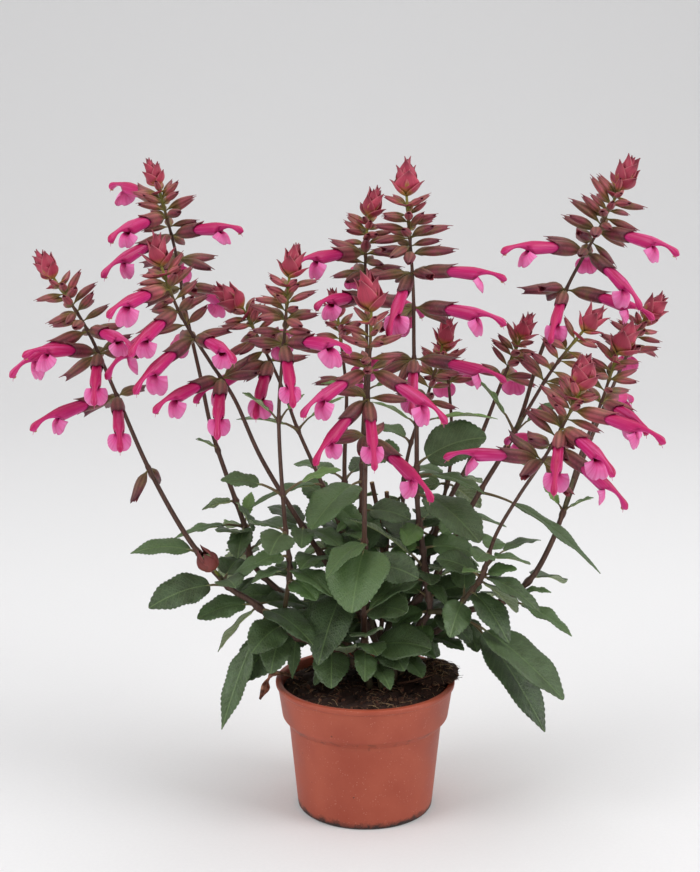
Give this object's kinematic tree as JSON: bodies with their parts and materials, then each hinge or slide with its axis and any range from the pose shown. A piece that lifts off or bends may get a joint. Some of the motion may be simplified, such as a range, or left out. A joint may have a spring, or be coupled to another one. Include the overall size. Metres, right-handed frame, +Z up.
{
  "type": "potted ornamental sage",
  "caption": "Flowering sage in a plain terracotta-coloured plastic nursery pot: loose upright spikes of pink two-lipped flowers in maroon calyces above toothed green leaves.",
  "frame": {"origin": "middle of the pot's flat underside", "axes": "+Z up along the pot's axis, -Y towards the front as pictured, +X to the right of it"},
  "size_m": [0.4609, 0.2917, 0.4745],
  "materials": {
    "terracotta_plastic": "satin injection-moulded, slightly dusty",
    "peat_compost": "crumbly, moist",
    "sage_foliage": "soft satin, finely veined",
    "sage_flowers": "velvety petals in downy calyces",
    "dead_leaf": "dry, crumpled"
  },
  "bodies": {
    "root": {"pot": "terracotta_plastic", "compost": "peat_compost", "withered_leaf": "dead_leaf", "leafy_stem_01": "sage_foliage", "leafy_stem_02": "sage_foliage", "leafy_stem_03": "sage_foliage", "leafy_stem_04": "sage_foliage", "leafy_stem_05": "sage_foliage", "leafy_stem_06": "sage_foliage", "leafy_stem_07": "sage_foliage", "leafy_stem_08": "sage_foliage", "leafy_stem_09": "sage_foliage", "flower_spike_01": "sage_flowers", "flower_spike_02": "sage_flowers", "flower_spike_03": "sage_flowers", "flower_spike_04": "sage_flowers", "flower_spike_05": "sage_flowers", "flower_spike_06": "sage_flowers", "flower_spike_07": "sage_flowers", "flower_spike_08": "sage_flowers", "flower_spike_09": "sage_flowers", "flower_spike_10": "sage_flowers", "flower_spike_11": "sage_flowers", "flower_spike_12": "sage_flowers", "flower_spike_13": "sage_flowers", "flower_spike_14": "sage_flowers", "flower_spike_15": "sage_flowers", "flower_spike_16": "sage_flowers", "flower_spike_18": "sage_flowers", "closed_bud_17": "sage_flowers"}
  },
  "joints": []
}
